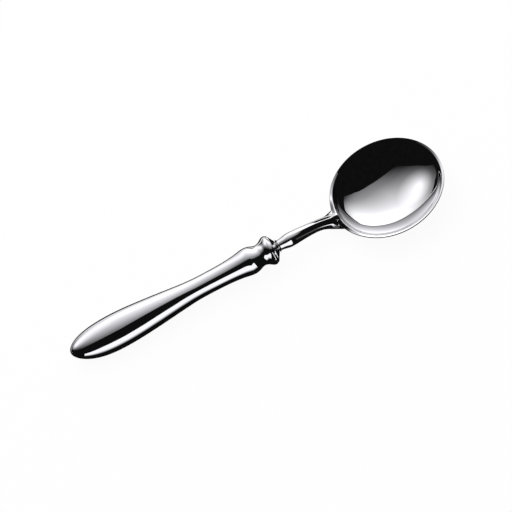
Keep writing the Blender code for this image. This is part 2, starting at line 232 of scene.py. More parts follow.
# Handle: two stamped halves that meet in a buffed-out seam.
handle = {
    "length": 0.1216,
    "width": 0.0207,
    "outline": (  # share of the length, share of the width
        (0.0, 0.0), (0.065, 0.724), (0.213, 1.0), (0.364, 0.906), (0.52, 0.706), (0.6, 0.611),
        (0.69, 0.586), (0.79, 0.623), (0.85, 0.71), (0.885, 0.766), (0.91, 0.717), (0.936, 0.609),
        (0.962, 0.694), (0.99, 0.836), (1.0, 0.772)),
    "gripFlatness": 0.72,
    "lipFlatness": 0.85,
    "rounderFrom": 0.2,
    "tipLift": 0.0019,  # the closed end turns up a little
    "tipReach": 0.024,
    "wall": 0.0009,
    "stations": 220,
    "sides": 49,
    "profilePoints": 1601,
}


def widthSquaredAlong(shares):
    # A cubic through the squares of the half widths, which keeps the closed end round.
    xs = np.array([p[0] for p in handle["outline"]])
    ys = np.array([(p[1] * handle["width"] / 2) ** 2 for p in handle["outline"]])
    step, size = np.diff(xs), len(xs)
    matrix, right = np.eye(size), np.zeros(size)
    for i in range(1, size - 1):
        matrix[i, i - 1:i + 2] = step[i - 1], 2.0 * (step[i - 1] + step[i]), step[i]
        right[i] = 6.0 * ((ys[i + 1] - ys[i]) / step[i] - (ys[i] - ys[i - 1]) / step[i - 1])
    bend = np.linalg.solve(matrix, right)
    i = np.clip(np.searchsorted(xs, shares) - 1, 0, size - 2)
    left, ahead, h = shares - xs[i], xs[i + 1] - shares, step[i]
    value = (bend[i] * ahead**3 + bend[i + 1] * left**3) / (6.0 * h)
    value += (ys[i] / h - bend[i] * h / 6.0) * ahead
    return value + (ys[i + 1] / h - bend[i + 1] * h / 6.0) * left


profileShares = np.linspace(0.0, 1.0, handle["profilePoints"])
profileX = profileShares * handle["length"]
widthSquared = np.maximum(widthSquaredAlong(profileShares), 0.0)
flatness = handle["gripFlatness"] + (handle["lipFlatness"] - handle["gripFlatness"]) * easeBetween(
    profileShares, handle["rounderFrom"], 1.0)
widthSlope = np.gradient(widthSquared, profileX)
flatnessSlope = np.gradient(flatness, profileX)


def tipRise(x):
    # height and slope of the turned-up end
    left = np.maximum(1.0 - x / handle["tipReach"], 0.0)
    return handle["tipLift"] * left**2, -2.0 * handle["tipLift"] / handle["tipReach"] * left


def handleNormals(places):
    # Outward directions of the oval skin, worked out from its rule and not from the facets.
    x, y, z = places.T
    flat = np.interp(x, profileX, flatness)
    squared = np.interp(x, profileX, widthSquared)
    up = z / flat
    upShare = up**2 / np.maximum(y**2 + up**2, 1e-16)
    wider = np.interp(x, profileX, widthSlope) / 2
    rounder = upShare * squared * np.interp(x, profileX, flatnessSlope) / flat
    normals = np.stack((-(wider + rounder), y, up / flat), axis=1)
    normals[:, 0] -= tipRise(x)[1] * normals[:, 2]
    return normals / np.linalg.norm(normals, axis=1)[:, None]


def handleLoftTree():
    # Lofts half an oval along a profile curve whose points hold (place, half width, half height).
    tree = bpy.data.node_groups.new("hollowHandleLoft", "GeometryNodeTree")
    for name, kind in (("Profile", "Object"), ("Stations", "Int"), ("Sides", "Int"), ("Half", "Float"),
                       ("Steel", "Material")):
        tree.interface.new_socket(name, in_out="INPUT", socket_type="NodeSocket" + kind)
    tree.interface.new_socket("Geometry", in_out="OUTPUT", socket_type="NodeSocketGeometry")
    start = addNode(tree, "NodeGroupInput")
    grid = addNode(tree, "GeometryNodeMeshGrid", None, {
        "Size X": 1.0, "Size Y": 1.0,
        "Vertices X": start.outputs["Stations"], "Vertices Y": start.outputs["Sides"]})
    place = addNode(tree, "GeometryNodeInputPosition")
    part = addNode(tree, "ShaderNodeSeparateXYZ", None, {"Vector": place.outputs["Position"]})
    along = addNode(tree, "ShaderNodeMath", {"operation": "ADD"}, {0: part.outputs["X"], 1: 0.5})
    turn = addNode(tree, "ShaderNodeMath", {"operation": "MULTIPLY_ADD"}, {
        0: part.outputs["Y"], 1: math.pi, 2: math.pi / 2})
    profile = addNode(tree, "GeometryNodeObjectInfo", None, {"Object": start.outputs["Profile"]})
    sample = addNode(tree, "GeometryNodeSampleCurve", {"mode": "FACTOR"}, {
        "Curves": profile.outputs["Geometry"], "Factor": along.outputs["Value"]})
    size = addNode(tree, "ShaderNodeSeparateXYZ", None, {"Vector": sample.outputs["Position"]})
    cosine = addNode(tree, "ShaderNodeMath", {"operation": "COSINE"}, {0: turn.outputs["Value"]})
    sine = addNode(tree, "ShaderNodeMath", {"operation": "SINE"}, {0: turn.outputs["Value"]})
    across = addNode(tree, "ShaderNodeMath", {"operation": "MULTIPLY"}, {
        0: size.outputs["Y"], 1: cosine.outputs["Value"]})
    up = addNode(tree, "ShaderNodeMath", {"operation": "MULTIPLY"}, {
        0: size.outputs["Z"], 1: sine.outputs["Value"]})
    side = addNode(tree, "ShaderNodeMath", {"operation": "MULTIPLY"}, {
        0: up.outputs["Value"], 1: start.outputs["Half"]})
    point = addNode(tree, "ShaderNodeCombineXYZ", None, {
        "X": size.outputs["X"], "Y": across.outputs["Value"], "Z": side.outputs["Value"]})
    skin = addNode(tree, "GeometryNodeSetPosition", None, {
        "Geometry": grid.outputs["Mesh"], "Position": point.outputs["Vector"]})
    closed = addNode(tree, "GeometryNodeMergeByDistance", None, {
        "Geometry": skin.outputs["Geometry"], "Distance": samePlace})
    real = addNode(tree, "GeometryNodeRealizeInstances", None, {"Geometry": closed.outputs["Geometry"]})
    dressed = addNode(tree, "GeometryNodeSetMaterial", None, {
        "Geometry": real.outputs["Geometry"], "Material": start.outputs["Steel"]})
    addNode(tree, "NodeGroupOutput", None, {"Geometry": dressed.outputs["Geometry"]})
    return tree


profileCurve = bpy.data.curves.new("handleProfile", "CURVE")
profileCurve.dimensions = "3D"
profileSpline = profileCurve.splines.new("POLY")
profileSpline.points.add(handle["profilePoints"] - 1)
for knot, x, squared, flat in zip(profileSpline.points, profileX, widthSquared, flatness):
    knot.co = (x, math.sqrt(squared), math.sqrt(squared) * flat, 1.0)
profileObject = bpy.data.objects.new("handleProfile", profileCurve)
bpy.context.scene.collection.objects.link(profileObject)

loftTree = handleLoftTree()
loftInputs = {item.name: item.identifier for item in loftTree.interface.items_tree if item.in_out == "INPUT"}


def halfShell(name, node, half):
    # half is 1 for the upper side and -1 for the lower one
    body = bpy.data.objects.new(name, bpy.data.meshes.new(name))
    bpy.context.scene.collection.objects.link(body)
    loft = body.modifiers.new("loft", "NODES")
    loft.node_group = loftTree
    settings = {"Profile": profileObject, "Stations": handle["stations"], "Sides": handle["sides"],
                "Half": half, "Steel": handleSteel}
    for label, value in settings.items():
        loft[loftInputs[label]] = value
    mesh = bakeModifiers(body)
    work = bmesh.new()
    work.from_mesh(mesh)
    bmesh.ops.recalc_face_normals(work, faces=work.faces)
    if sum(f.normal.z * f.calc_area() for f in work.faces) * half < 0:
        bmesh.ops.reverse_faces(work, faces=work.faces)
    work.to_mesh(mesh)
    work.free()
    skinFaces, skinPoints = len(mesh.polygons), len(mesh.vertices)
    outward = handleNormals(vertexPlaces(mesh))
    wall = body.modifiers.new("wall", "SOLIDIFY")
    wall.thickness = handle["wall"]
    wall.offset = -1.0
    mesh = bakeModifiers(body)

    # Exact normals on both skins and flat edges, so that no seam line breaks the reflections.
    turned = outward @ np.array(layDown.to_3x3()).T
    places = vertexPlaces(mesh)
    places[:, 2] += tipRise(places[:, 0])[0]
    movePlaces(mesh, places)
    mesh.transform(layDown)
    normals = []
    for face in mesh.polygons:
        face.use_smooth = True
        for vertex in face.vertices:
            if face.index < skinFaces:
                normals.append(turned[vertex % skinPoints])
            elif face.index < 2 * skinFaces:
                normals.append(-turned[vertex % skinPoints])
            else:
                normals.append(face.normal)
    mesh.normals_split_custom_set([tuple(n) for n in normals])
    bpy.data.objects.remove(body)
    addPiece(name, mesh, node, handleSteel)


halfShell("upperHandleHalf", "handle_shell_upper", 1.0)
halfShell("lowerHandleHalf", "handle_shell_lower", -1.0)
bpy.data.objects.remove(profileObject)
print("handle halves lofted")


# Cap: a low dome with a spigot, turned round the handle's axis and flattened like its mouth.
cap = {
    "back": handle["length"] + fitGap,
    "height": 0.0029,
    "wall": 0.0011,
    "spigot": 0.0016,
    "spigotPlay": 2.5 * fitGap,
    "hole": 0.0026 + fitGap,  # round the tang
    "edgeInset": 0.00005,
    "seat": 0.9 * fitGap,  # how far its edge reaches back to the lip of the handle
    "domeBend": (0.78, 0.35),  # where its curve is pulled to: share of the half width, of the height
    "sides": 144,
    "steps": 28,
    "sharpAngle": 35.0,
}


def bendCurve(start, control, end, steps):
    t = np.linspace(0.0, 1.0, steps + 1)[:, None]
    start, control, end = np.array(start), np.array(control), np.array(end)
    return [tuple(p) for p in (1 - t) ** 2 * start + 2 * t * (1 - t) * control + t**2 * end]


def ovalRing(name, outline, squash, sides, sharpAngle):
    # The outline's points are (half width, place along the axis).
    count = len(outline)
    points, faces = [], []
    for k in range(sides):
        angle = 2.0 * math.pi * k / sides
        points += [(x, r * math.cos(angle), r * squash * math.sin(angle)) for r, x in outline]
    for k in range(sides):
        after = (k + 1) % sides
        for i in range(count):
            j = (i + 1) % count
            faces.append((k * count + i, k * count + j, after * count + j, after * count + i))
    mesh = plainMesh(points, faces, name)
    mesh.transform(layDown)
    mesh.shade_smooth()
    mesh.set_sharp_from_angle(angle=math.radians(sharpAngle))
    return mesh


mouthHalfWidth = math.sqrt(widthSquared[-1])
capSpigot = mouthHalfWidth - handle["wall"] - cap["spigotPlay"]
capEdge = mouthHalfWidth - cap["edgeInset"]
capOutline = [(capEdge, cap["back"] - cap["seat"])]
capOutline += bendCurve(
    (capEdge, cap["back"]),
    (mouthHalfWidth * cap["domeBend"][0], cap["back"] + cap["height"] * cap["domeBend"][1]),
    (cap["hole"], cap["back"] + cap["height"]),
    cap["steps"])
capOutline += [
    (cap["hole"], cap["back"] + cap["height"] - cap["wall"]),
    (capSpigot - cap["wall"], cap["back"]),
    (capSpigot - cap["wall"], cap["back"] - cap["spigot"]),
    (capSpigot, cap["back"] - cap["spigot"]),
    (capSpigot, cap["back"] - cap["seat"])]
capMesh = ovalRing("domedCap", capOutline, handle["lipFlatness"], cap["sides"], cap["sharpAngle"])
addPiece("domedCap", capMesh, "collar_cap", capSteel)
print("cap turned")


# Head: bowl, neck and tang as one forging, subdivided from a light cage.
head = {
    "tangLength": 0.060,
    "tangHalfWidth": 0.0026,
    "tangSections": (  # share of the length, of the half width
        (0.0, 0.65), (0.04, 0.75), (0.5, 0.92), (0.9, 1.0)),
    "tangShoulder": (0.001, 0.0002),  # its last two loops, before the root of the neck
    "neckLength": 0.0344,
    "neckDrop": 0.0036,
    "neckHalfWidth": 0.0041,
    "neckHalfHeight": 0.0037,
    "neckSections": (  # share of the length, of the half width, of the half height, of the drop
        (0.0, 0.73, 0.74, 0.0), (0.07, 0.76, 0.78, 0.0), (0.14, 0.91, 0.93, 0.0), (0.21, 1.0, 1.0, 0.0),
        (0.33, 0.94, 0.94, -0.04), (0.5, 0.84, 0.84, -0.06), (0.67, 0.77, 0.79, 0.05),
        (0.8, 0.79, 0.75, 0.3), (0.92, 0.84, 0.72, 0.68)),
    "neckSwell": 1.045,  # the smoothing draws each loop in by this much
    "ridgeRise": (0.3, 0.6),  # the ridge on top comes up between these shares of the neck
    "ridgeFall": 0.17,  # the shoulders beside it are lower by this share
    "ridgeSection": 4,  # the first section whose top is creased
    "splayFrom": 0.75,  # the underside widens from this share of the neck to the heel
    "splay": 0.35,
    "sideSplay": 0.1,  # how much of that the two sides take up
    "bowlLength": 0.065,
    "bowlWidth": 0.0584,
    "bowlDepth": 0.0115,
    "bowlWall": 0.0018,
    "bowlFullness": 0.12,
    "heelFullness": 0.6,  # the bowl falls more steeply where the neck comes in
    "heelFullnessFocus": 9,  # the higher, the closer to the heel
    "bowlPitch": math.radians(5.05),
    "bowlLift": 0.001,  # middle of the rim above the axis of the handle
    "rimLand": 0.0013,
    "heelLand": 0.0022,  # the flat of the rim is wider at the heel
    "heelLandFocus": 40,
    "rimEdge": 0.0008,
    "rimRise": 0.0006,  # the land slopes into the bowl by this much
    "heelCrest": (  # lift of the outer and the inner edge of the land, from the middle of the heel out
        (0.0018, 0.0020), (0.0006, 0.0016), (-0.0012, 0.0008), (-0.0012, 0.0006), (0.0, 0.0004),
        (0.0002, 0.0002)),
    "innerRings": (0.0, 0.22, 0.45, 0.68, 0.86, 0.955, 1.0),  # shares of the bowl
    "outerRings": (  # share of the bowl, and of the web that spreads from the neck
        (1.0, 0.15), (0.85, 1.0), (0.68, 0.5), (0.48, 0.0), (0.25, 0.0), (0.0, 0.0)),
    "sectors": 28,
    "neckSpan": math.radians(6.8),
    "heelWeb": 3.9,  # how much wider the neck runs into the bowl below than at the rim
    "webReach": math.radians(75),
    "creases": {"innerEdge": 0.5, "outerEdge": 0.75, "underEdge": 0.3, "ridge": 0.6},
    "levels": 3,
    "trueBelow": 0.0002,  # the exact bowl starts this far below the rim
    "trueInside": (0.9, 0.98),  # and ends between these shares of it
    "trueOutside": (0.78, 0.93),
    "trueHeel": 0.95,  # middle of the heel, as a share of the half length
    "trueFromHeel": (0.5, 1.0),
}
rootX = cap["back"] + cap["height"] + fitGap
heelX = rootX + head["neckLength"]
bowlX = heelX + head["bowlLength"] / 2 * math.cos(head["bowlPitch"])
bowlTilt = Matrix.Translation((bowlX, 0.0, head["bowlLift"])) @ Matrix.Rotation(-head["bowlPitch"], 4, "Y")


def ovalSection(centre, pitch, wide, high, ridge=0.0):
    # Five points on top, one at each side and five below. A ridge lowers the shoulders.
    loop = []
    for degrees in (150, 120, 90, 60, 30, 0, -30, -60, -90, -120, -150, 180):
        across, up = wide * math.cos(math.radians(degrees)), high * math.sin(math.radians(degrees))
        if degrees in (60, 120):
            up *= 1.0 - head["ridgeFall"] * ridge
        loop.append(Vector((centre[0] - up * math.sin(pitch), across, centre[1] + up * math.cos(pitch))))
    return loop


def tangLoops():
    tangTip = rootX - head["tangLength"]
    places = [(tangTip + head["tangLength"] * share, taper) for share, taper in head["tangSections"]]
    places += [(rootX - before, 1.0) for before in head["tangShoulder"]]
    loops = []
    for x, taper in places:
        wide = head["tangHalfWidth"] * taper
        loops.append(ovalSection((x, 0.0), 0.0, wide, wide * handle["lipFlatness"]))
    return loops


def neckLoops():
    places = [
        (rootX + share * head["neckLength"], -head["neckDrop"] * fall, wide * head["neckHalfWidth"],
         high * head["neckHalfHeight"])
        for share, wide, high, fall in head["neckSections"]]
    loops = []
    for i, (x, z, wide, high) in enumerate(places):
        before, after = places[max(i - 1, 0)], places[min(i + 1, len(places) - 1)]
        pitch = math.atan2(after[1] - before[1], after[0] - before[0])
        share = (x - rootX) / head["neckLength"]
        ridge = easeBetween(share, *head["ridgeRise"])
        loop = ovalSection((x, z), pitch, wide * head["neckSwell"], high * head["neckSwell"], ridge)
        splay = (head["heelWeb"] - 1.0) * easeBetween(share, head["splayFrom"], 1.0) * head["splay"]
        for k in range(5, 12):  # 5 and 11 are the sides, the rest is below
            loop[k].y *= 1.0 + splay * (head["sideSplay"] if k in (5, 11) else 1.0)
        loops.append(loop)
    return loops


def bowlPoint(share, turn, edge, z):
    # turn is 0 at the heel, z is measured from the plane of the rim
    x = -(head["bowlLength"] / 2 - edge) * share * math.cos(turn)
    y = (head["bowlWidth"] / 2 - edge) * share * math.sin(turn)
    return bowlTilt @ Vector((x, y, z))


def bowlFall(share, turn):
    nearHeel = np.abs(np.cos(turn / 2)) ** head["heelFullnessFocus"]
    fullness = head["bowlFullness"] + head["heelFullness"] * nearHeel
    return (1.0 - share**2) * (1.0 + fullness * share**2)


def insideHeight(share, turn):
    return -head["bowlDepth"] * bowlFall(share, turn)


def outsideHeight(share, turn):
    depth = head["bowlDepth"] + head["bowlWall"] - head["rimEdge"]
    return -head["rimEdge"] - depth * bowlFall(share, turn)


def landWidth(turn):
    nearHeel = np.abs(np.cos(turn / 2)) ** head["heelLandFocus"]
    return head["rimLand"] + (head["heelLand"] - head["rimLand"]) * nearHeel


def webTurn(turn, spread):
    # Spreads the places next to the heel and leaves the far side of the bowl where it is.
    side = turn if turn <= math.pi else turn - 2 * math.pi
    reach, span = head["webReach"], head["neckSpan"]
    if abs(side) >= reach:
        return turn
    if abs(side) <= span:
        return side * spread
    rest = (abs(side) - span) / (reach - span)
    return math.copysign(span * spread + rest * (reach - span * spread), side)


def headCage():
    span, sectors = head["neckSpan"], head["sectors"]
    turns = [0.0, span / 2]
    turns += [span + (2 * math.pi - 2 * span) * i / sectors for i in range(sectors + 1)]
    turns.append(2 * math.pi - span / 2)
    count = len(turns)
    rings = []
    for share in head["innerRings"]:
        rings.append([bowlPoint(share, t, landWidth(t), insideHeight(share, t)) for t in turns])
    innerEdge, outerEdge = len(rings) - 1, len(rings)
    underEdge = outerEdge + 1
    rings.append([bowlPoint(1.0, t, 0.0, head["rimRise"]) for t in turns])
    for k, (outer, inner) in enumerate(head["heelCrest"]):
        for side in sorted({k, -k}):
            rings[outerEdge][side].z += outer
            rings[innerEdge][side].z += inner
    for share, web in head["outerRings"]:
        spread = 1.0 + (head["heelWeb"] - 1.0) * web
        ring = [webTurn(t, spread) for t in turns]
        rings.append([bowlPoint(share, t, 0.0, outsideHeight(share, t)) for t in ring])
    points = [p for ring in rings for p in ring]
    heel = {count - 2, count - 1, 0, 1}
    faces = []
    for i in range(len(rings) - 1):
        for k in range(count):
            if i in (outerEdge, underEdge) and k in heel:
                continue
            a, b = i * count + k, i * count + (k + 1) % count
            faces.append((a, b, b + count, a + count))

    def at(ring, k):
        return ring * count + k % count

    # The mouth at the heel runs on into the loops of the neck and tang.
    mouth = [at(outerEdge, k) for k in (-2, -1, 0, 1, 2)] + [at(underEdge, 2)]
    mouth += [at(underEdge + 1, k) for k in (2, 1, 0, -1, -2)] + [at(underEdge, -2)]
    neck = neckLoops()
    for loop in reversed(tangLoops() + neck):
        here = list(range(len(points), len(points) + len(loop)))
        points += loop
        for k in range(len(here)):
            after = (k + 1) % len(here)
            faces.append((mouth[k], mouth[after], here[after], here[k]))
        mouth = here
    faces.append(tuple(mouth))
    faces = [tuple(dict.fromkeys(face)) for face in faces]
    ridge = [loop[2] for loop in neck[head["ridgeSection"]:]]
    ridge += [rings[outerEdge][0], rings[innerEdge][0]]
    creased = {"innerEdge": rings[innerEdge], "outerEdge": rings[outerEdge], "underEdge": rings[underEdge],
               "ridge": ridge}
    return points, faces, creased


def creaseEdges(mesh, creased):
    work = bmesh.new()
    work.from_mesh(mesh)
    layer = work.edges.layers.float.new("crease_edge")
    for name, line in creased.items():
        for edge in work.edges:
            if all(min((v.co - p).length for p in line) < samePlace for v in edge.verts):
                edge[layer] = head["creases"][name]
    work.to_mesh(mesh)
    work.free()


def trueBowl(mesh):
    # The subdivided bowl drawn onto its own rule, inside and out, clear of the rim and the neck.
    back, forth = np.array(bowlTilt.inverted()), np.array(bowlTilt)
    local = vertexPlaces(mesh) @ back[:3, :3].T + back[:3, 3]
    u, v, w = local.T
    halfLength, halfWidth = head["bowlLength"] / 2, head["bowlWidth"] / 2
    turn = np.arctan2(v / halfWidth, -u / halfLength)
    for _ in range(3):  # the width of the land and the turn depend on each other
        land = landWidth(turn)
        turn = np.arctan2(v / (halfWidth - land), -u / (halfLength - land))
    inShare = np.hypot(u / (halfLength - land), v / (halfWidth - land))
    outShare = np.hypot(u / halfLength, v / halfWidth)
    inside = insideHeight(np.minimum(inShare, 1.0), turn)
    outside = outsideHeight(np.minimum(outShare, 1.0), turn)
    upper = np.abs(w - inside) < np.abs(w - outside)
    inBowl = (outShare < 1.0) & (w < -head["trueBelow"])
    fromHeel = np.hypot(u + halfLength * head["trueHeel"], v) / halfLength
    keepIn = 1.0 - easeBetween(inShare, *head["trueInside"])
    keepOut = 1.0 - easeBetween(outShare, *head["trueOutside"])
    keepOut *= easeBetween(fromHeel, *head["trueFromHeel"])
    weight = np.where(inBowl, np.where(upper, keepIn, keepOut), 0.0)
    local[:, 2] = w + weight * (np.where(upper, inside, outside) - w)
    movePlaces(mesh, local @ forth[:3, :3].T + forth[:3, 3])


cagePoints, cageFaces, cageCreases = headCage()
cageMesh = plainMesh(cagePoints, cageFaces, "spoonHead")
creaseEdges(cageMesh, cageCreases)
cageBody = bpy.data.objects.new("headCage", cageMesh)
bpy.context.scene.collection.objects.link(cageBody)
smooth = cageBody.modifiers.new("smooth", "SUBSURF")
smooth.levels = head["levels"]
smooth.render_levels = smooth.levels
headMesh = bakeModifiers(cageBody)
bpy.data.objects.remove(cageBody)
trueBowl(headMesh)
headMesh.transform(layDown)
grounded = vertexPlaces(headMesh)
grounded[:, 2] = np.maximum(grounded[:, 2], 0.0)  # the small flat ground where the bowl rests
movePlaces(headMesh, grounded)
headMesh.shade_smooth()
addPiece("spoonHead", headMesh, "spoon_head", headSteel)
print("head subdivided:", len(headMesh.polygons), "faces")


# Braze: a small hollow fillet between the cap and the root of the neck.
braze = {
    "size": 0.0006,
    "hollow": 0.25,  # how close its curve is pulled into the corner
    "squash": 0.92,
    "clear": 0.2 * fitGap,  # off the neck and the cap
    "runOut": 0.8 * fitGap,  # its thin edges run out over the gap
    "sides": 96,
    "steps": 10,
    "sharpAngle": 50.0,
}
brazeInner = head["neckSections"][0][1] * head["neckHalfWidth"] + braze["clear"]
brazeX = rootX + braze["clear"]
brazeOutline = bendCurve(
    (brazeInner + braze["size"] + braze["runOut"], brazeX),
    (brazeInner + braze["size"] * braze["hollow"], brazeX + braze["size"] * braze["hollow"]),
    (brazeInner, brazeX + braze["size"] + braze["runOut"]),
    braze["steps"]) + [(brazeInner, brazeX)]
brazeMesh = ovalRing("neckBraze", brazeOutline, braze["squash"], braze["sides"], braze["sharpAngle"])
addPiece("neckBraze", brazeMesh, "neck_braze_ring", brazeSilver)

# Core: the solid's own shape, which the handle hides.
coreNode = frame["nodes"]["cement_core"]
coreNode.data.materials.clear()
coreNode.data.materials.append(coreResin)
print("braze and core dressed")


# Studio: a white sweep, one big soft panel behind and above, two small white cards in front, and
# black cloth round the rest, which gives polished steel its dark outlines.
studio = {
    "sweepReach": 3.0,
    "paperTones": ("#f2f2f2", "#f6f6f6"),
    "fibreMm": 3.0,
    "paperWhite": 0.95,  # share of plain white that the eye sees, the rest takes the shadow
    "clothGlow": 0.006,
    "clothUneven": 0.4,
    "clothFolds": 3.0,  # to the metre
    "tentRadius": 3.5,
    "tentLevels": 3,
    "matShape": ((-2.5, -2.5), (2.5, -2.5), (2.5, 0.035), (0.03, 0.035), (0.02, 0.058), (-2.5, 0.058)),
    "matWing": ((-2.5, 0.24), (-0.13, 0.24), (-0.13, 2.5), (-2.5, 2.5)),
    "matHeight": 0.0002,  # behind the mat the paper shows in the steel
    "collarFlag": ((0.0, 0.0), (0.0062, 0.0), (0.0062, 0.012), (0.0098, 0.012), (0.0098, 0.03), (0.0, 0.03)),
    "collarFlagY": -0.0125,
    "handleFlag": (
        (-0.13, -0.012), (-0.13, -0.0041), (-0.081, -0.0043), (-0.066, -0.002), (-0.058, -0.0008),
        (-0.044, 0.0012), (-0.038, 0.0008), (-0.034, -0.0011), (0.0, -0.0016), (0.0, -0.012)),
    "handleFlagZ": 0.04,
    "lightColour": "#fcfcff",  # daylight lamps, a touch cool
    "steelTone": 0.72,  # how much light the steel gives back
    "panelDistance": 1.3,
    "panelFacing": Vector((0.0, 0.6, 0.8)),  # from the spoon to the middle of the panel
    "panelAt": Vector((0.03, 0.0, 0.01)),
    "panelShape": (  # across and down the panel, in shares of its distance
        (1.95, -1.07), (0.8, -1.07), (0.55, -1.0), (0.3, -0.95), (0.05, -0.93), (-0.2, -1.0),
        (-0.45, -1.06), (-0.8, -1.1), (-0.95, -0.75), (-1.2, -0.28), (-1.35, 0.15), (-1.55, 0.5),
        (-1.85, 0.85), (-0.98, 0.93), (-0.74, 1.06), (-0.5, 1.2), (-0.3, 1.34), (0.2, 1.34),
        (0.6, 0.95), (0.85, 0.85), (1.15, 0.6), (1.42, 0.48), (1.8, 0.35), (1.95, 0.2)),
    "hotSpots": (  # place on the panel, where its glow would end across and down, tone
        ((0.662, 0.496, 0.0), (2.711, 2.01, 1.0), 1.298),
        ((-0.629, 0.235, 0.0), (0.615, 0.615, 1.0), 0.411),
        ((0.45, -1.05, 0.0), (1.6, 0.45, 1.0), 0.13),
        ((0.25, 0.9, 0.0), (0.9, 0.8, 1.0), 0.17)),
    "panelGamma": 2.2,  # the tones above are as the eye sees them
    "panelDim": (-2.247, -0.498),  # the left end fades out between these
    "cardY": -0.028,
    "handleCard": (  # along X, its top, and the heights where it is still white and already black
        (-0.123, 0.022, 0.0157, 0.0037), (-0.098, 0.03, 0.0157, 0.0037), (-0.08, 0.03, 0.0163, 0.0043),
        (-0.065, 0.033, 0.0172, 0.0052), (-0.0565, 0.037, 0.02, 0.006), (-0.0416, 0.0437, 0.024, 0.0082),
        (-0.036, 0.0487, 0.0245, 0.009), (-0.032, 0.051, 0.0235, 0.009), (-0.016, 0.041, 0.019, 0.0069),
        (-0.006, 0.032, 0.0165, 0.0046), (0.005, 0.04, 0.018, 0.006), (0.012, 0.046, 0.012, 0.002),
        (0.022, 0.051, 0.006, 0.0005)),
    "heelCard": (  # along X, its bottom and top, and how white it is
        (0.028, 0.018, 0.034, 0.13), (0.046, 0.018, 0.034, 0.2), (0.053, 0.016, 0.0262, 1.0),
        (0.07, 0.0165, 0.026, 1.0)),
    "lampSize": 1.6,
    "lampWatts": 26.0,
    "lampPlace": (-0.3, 0.5, 1.4),
    "skyForMatt": 0.25,  # the sky is white to the eye, and this bright to matt surfaces
}


def stagePiece(name, points, faces, material, seenBy, place=Matrix.Identity(4)):
    mesh = bpy.data.meshes.new(name)
    mesh.from_pydata([tuple(p) for p in points], [], faces)
    mesh.materials.append(material)
    body = bpy.data.objects.new(name, mesh)
    bpy.context.scene.collection.objects.link(body)
    body.matrix_world = place
    for kind in ("camera", "diffuse", "glossy", "transmission", "shadow"):
        setattr(body, "visible_" + kind, kind in seenBy)
    return body


def seenDirectly(tree):
    # White to the eye and in polished metal and glass, plain paper to every other ray.
    path = addNode(tree, "ShaderNodeLightPath")
    seen = addNode(tree, "ShaderNodeMath", {"operation": "ADD"}, {
        0: path.outputs["Is Camera Ray"], 1: path.outputs["Is Glossy Ray"]})
    seen = addNode(tree, "ShaderNodeMath", {"operation": "ADD", "use_clamp": True}, {
        0: seen.outputs["Value"], 1: path.outputs["Is Transmission Ray"]})
    return seen


# Paper sweep: matt white, a faint fibre in it. It keeps a soft shadow under the spoon.
paper, tree = emptyMaterial("paperSweep")
place = addNode(tree, "ShaderNodeTexCoord")
fibre = addNode(tree, "ShaderNodeTexNoise", None, {
    "Vector": place.outputs["Object"], "Scale": 1000.0 / studio["fibreMm"], "Detail": 4.0})
tone = addNode(tree, "ShaderNodeMix", {"data_type": "RGBA"}, {
    "Factor": fibre.outputs["Fac"],
    6: toLinear(studio["paperTones"][0]), 7: toLinear(studio["paperTones"][1])})
matt = addNode(tree, "ShaderNodeBsdfDiffuse", None, {"Color": tone.outputs[2]})
glow = addNode(tree, "ShaderNodeEmission", None, {"Color": (1.0, 1.0, 1.0, 1.0), "Strength": 1.0})
seen = seenDirectly(tree)
share = addNode(tree, "ShaderNodeMath", {"operation": "MULTIPLY"}, {
    0: seen.outputs["Value"], 1: studio["paperWhite"]})
mixed = addNode(tree, "ShaderNodeMixShader", None, {
    "Fac": share.outputs["Value"], 1: matt.outputs["BSDF"], 2: glow.outputs["Emission"]})
addNode(tree, "ShaderNodeOutputMaterial", None, {"Surface": mixed.outputs["Shader"]})
reach = studio["sweepReach"]
stagePiece("paperSweep", [(-reach, -reach, 0), (reach, -reach, 0), (reach, reach, 0), (-reach, reach, 0)],
           [(0, 1, 2, 3)], paper, ("camera", "diffuse", "glossy", "transmission", "shadow"))

# Black cloth that only the steel sees: a tent, a mat in two pieces and two small flags.
cloth, tree = emptyMaterial("blackCloth")
place = addNode(tree, "ShaderNodeTexCoord")
folds = addNode(tree, "ShaderNodeTexNoise", None, {
    "Vector": place.outputs["Object"], "Scale": studio["clothFolds"]})
dim = addNode(tree, "ShaderNodeMapRange", None, {
    "Value": folds.outputs["Fac"],
    "To Min": studio["clothGlow"] * (1.0 - studio["clothUneven"]),
    "To Max": studio["clothGlow"] * (1.0 + studio["clothUneven"])})
dark = addNode(tree, "ShaderNodeEmission", None, {"Strength": dim.outputs["Result"]})
addNode(tree, "ShaderNodeOutputMaterial", None, {"Surface": dark.outputs["Emission"]})
ball = bmesh.new()
bmesh.ops.create_icosphere(ball, subdivisions=studio["tentLevels"], radius=studio["tentRadius"])
tentPoints = [tuple(v.co) for v in ball.verts]
tentFaces = [tuple(v.index for v in f.verts) for f in ball.faces]
ball.free()
stagePiece("blackTent", tentPoints, tentFaces, cloth, ("glossy",))
for name, points in (
        ("blackMat", [(x, y, studio["matHeight"]) for x, y in studio["matShape"]]),
        ("blackMatWing", [(x, y, studio["matHeight"]) for x, y in studio["matWing"]]),
        ("collarFlag", [(x, studio["collarFlagY"], z) for x, z in studio["collarFlag"]]),
        ("handleFlag", [(x, y, studio["handleFlagZ"]) for x, y in studio["handleFlag"]])):
    stagePiece(name, points, [tuple(range(len(points)))], cloth, ("glossy",))

